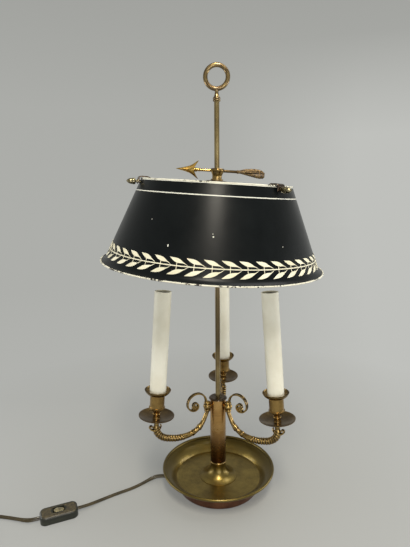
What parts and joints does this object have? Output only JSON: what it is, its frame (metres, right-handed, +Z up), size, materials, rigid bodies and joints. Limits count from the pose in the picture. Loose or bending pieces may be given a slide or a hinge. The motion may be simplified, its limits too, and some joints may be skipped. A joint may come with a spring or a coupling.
{
  "type": "desk lamp",
  "caption": "Bouillotte desk lamp: dished brass base, scroll arms with candle tubes, and a painted metal shade that slides and turns on a tall rod; corded in-line switch.",
  "frame": {"origin": "centre of the felt's underside, on the table under the foot", "axes": "+Z up along the rod, +X to the lamp's right as pictured, -Y its front"},
  "size_m": [0.6229, 0.3474, 0.651],
  "materials": {
    "felt": "green wool felt",
    "iron": "rough cast",
    "foot_brass": "spun, patinated",
    "dish_brass": "spun and lacquered",
    "column_brass": "drawn tube, lacquered",
    "dark_brass": "turned, dark patina",
    "rod_brass": "drawn rod, aged",
    "cast_brass": "cast and lacquered",
    "pan_brass": "turned, dark",
    "cup_brass": "turned, lacquered",
    "carrier_brass": "turned, aged",
    "arrow_brass": "cast, aged",
    "zinc": "zinc plated",
    "shade_paint": "satin black enamel with a cream garland",
    "sleeve": "cream candle tube",
    "holder": "black thermoset",
    "flex": "gold twin flex",
    "relief": "brown",
    "switch": "moulded, bronze brown",
    "rocker": "moulded, gold",
    "connector": "moulded",
    "tie": "black band",
    "plug": "moulded, bronze brown",
    "pins": "turned"
  },
  "bodies": {
    "root": {"base_felt": "felt", "ballast_weight": "iron", "foot_drum": "foot_brass", "base_dish": "dish_brass", "tie_tube": "zinc", "tie_washer": "zinc", "tie_nut": "zinc", "column_skirt": "dish_brass", "column_ring": "cast_brass", "column_tube": "column_brass", "column_cap": "dark_brass", "rod": "rod_brass", "finial_ring": "rod_brass", "arm_nuts": "zinc", "supply_flex": "flex", "connector_block": "connector", "arm_leads": "flex", "cord_relief": "relief", "cord_lead": "flex", "switch_base": "switch", "switch_cover": "switch", "switch_screws": "zinc", "switch_terminals": "cast_brass", "cord_tail": "flex", "cord_coil": "flex", "coil_tie": "tie", "plug_body": "plug", "plug_pins": "pins", "arm_back": "cast_brass", "drip_pan_back": "pan_brass", "candle_cup_back": "cup_brass", "holder_stalk_back": "zinc", "lampholder_back": "holder", "candle_sleeve_back": "sleeve", "arm_left": "cast_brass", "drip_pan_left": "pan_brass", "candle_cup_left": "cup_brass", "holder_stalk_left": "zinc", "lampholder_left": "holder", "candle_sleeve_left": "sleeve", "arm_right": "cast_brass", "drip_pan_right": "pan_brass", "candle_cup_right": "cup_brass", "holder_stalk_right": "zinc", "lampholder_right": "holder", "candle_sleeve_right": "sleeve"},
    "carrier": {"carrier_hub": "carrier_brass", "arrow_tail": "arrow_brass", "hub_locknut": "carrier_brass"},
    "shade_assembly": {"shade_spider": "carrier_brass", "shade": "shade_paint", "screw_nuts": "zinc"},
    "arrow": {"arrow_screw": "arrow_brass"},
    "thumb_screw_left": {"acorn_screw_left": "arrow_brass"},
    "thumb_screw_right": {"acorn_screw_right": "arrow_brass"},
    "thumb_screw_back": {"acorn_screw_back": "arrow_brass"},
    "rocker": {"switch_rocker": "rocker"}
  },
  "joints": [
    {"name": "shade_slide", "type": "slide", "parent": "root", "child": "carrier", "axis": [0, 0, 1], "range_m": [-0.13, 0.088]},
    {"name": "shade_swivel", "type": "hinge", "parent": "carrier", "child": "shade_assembly", "pos_m": [0, 0, 0.49225], "axis": [0.068, -0.02, 0.9975], "continuous": true},
    {"name": "arrow_turn", "type": "hinge", "parent": "carrier", "child": "arrow", "pos_m": [-0.0096, -0.00021, 0.50283], "axis": [-0.9977, -0.0014, 0.068], "continuous": true},
    {"name": "thumb_screw_turn_left", "type": "hinge", "parent": "shade_assembly", "child": "thumb_screw_left", "pos_m": [-0.11072, -0.03359, 0.4872], "axis": [-0.9541, -0.2936, 0.0592], "continuous": true},
    {"name": "thumb_screw_turn_right", "type": "hinge", "parent": "shade_assembly", "child": "thumb_screw_right", "pos_m": [0.08325, -0.0782, 0.47307], "axis": [0.7297, -0.6809, -0.0634], "continuous": true},
    {"name": "thumb_screw_turn_back", "type": "hinge", "parent": "shade_assembly", "child": "thumb_screw_back", "pos_m": [0.02505, 0.1125, 0.48087], "axis": [0.2244, 0.9745, 0.0043], "continuous": true},
    {"name": "rocker_tilt", "type": "hinge", "parent": "root", "child": "rocker", "pos_m": [-0.2354, -0.0846, 0.009], "axis": [0.4163, -0.9092, 0], "range_deg": [0, 14]}
  ]
}
